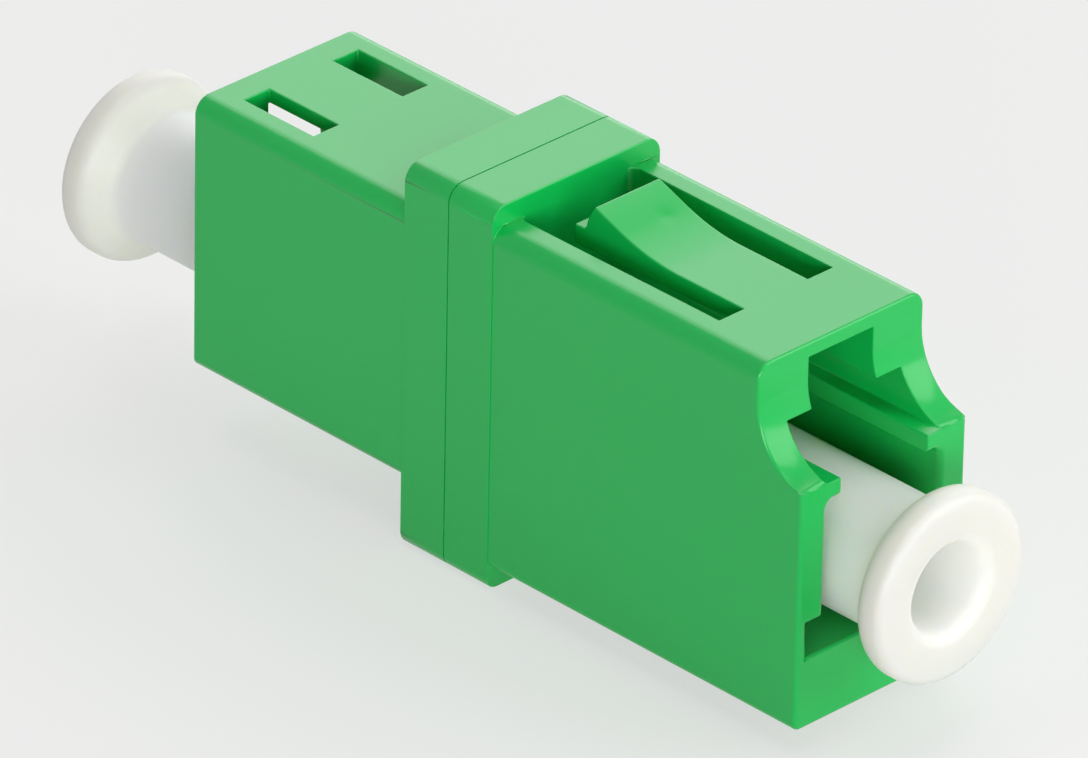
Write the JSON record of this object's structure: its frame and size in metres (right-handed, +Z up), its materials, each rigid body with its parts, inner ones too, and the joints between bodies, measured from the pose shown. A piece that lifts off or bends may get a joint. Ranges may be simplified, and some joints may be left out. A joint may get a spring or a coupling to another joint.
{
  "type": "lc simplex fibre adapter",
  "caption": "Small fibre-optic adapter: rectangular plastic body with a mounting collar, a spring panel latch and opposed ports that bring plug ferrules end to end, closed by soft dust plugs.",
  "frame": {"origin": "where the two ferrules meet: on the ferrule axis, in the plane of the seam between the housing halves", "axes": "+X along the ferrule axis out of the front port, the end with the panel latch; +Z up, towards the latch side"},
  "size_m": [0.0344, 0.0068, 0.013],
  "materials": {
    "green_plastic": "satin moulded",
    "white_ceramic": "ground and polished",
    "soft_plastic": "soft satin"
  },
  "bodies": {
    "adapter": {"front_housing": "green_plastic", "rear_housing": "green_plastic", "split_sleeve": "white_ceramic"},
    "latch": {"panel_latch": "green_plastic"},
    "front_plug": {"front_dust_plug": "soft_plastic"},
    "rear_plug": {"rear_dust_plug": "soft_plastic"}
  },
  "joints": [
    {"name": "latch_bend", "type": "hinge", "parent": "adapter", "child": "latch", "pos_m": [0.01, 0, 0.0062], "axis": [0, -1, 0], "range_deg": [0, 8], "stiffness_Nm_per_rad": 0.05},
    {"name": "front_plug_pull", "type": "slide", "parent": "adapter", "child": "front_plug", "axis": [1, 0, 0], "range_m": [0, 0.0123]},
    {"name": "rear_plug_pull", "type": "slide", "parent": "adapter", "child": "rear_plug", "axis": [-1, 0, 0], "range_m": [0, 0.0088]}
  ]
}
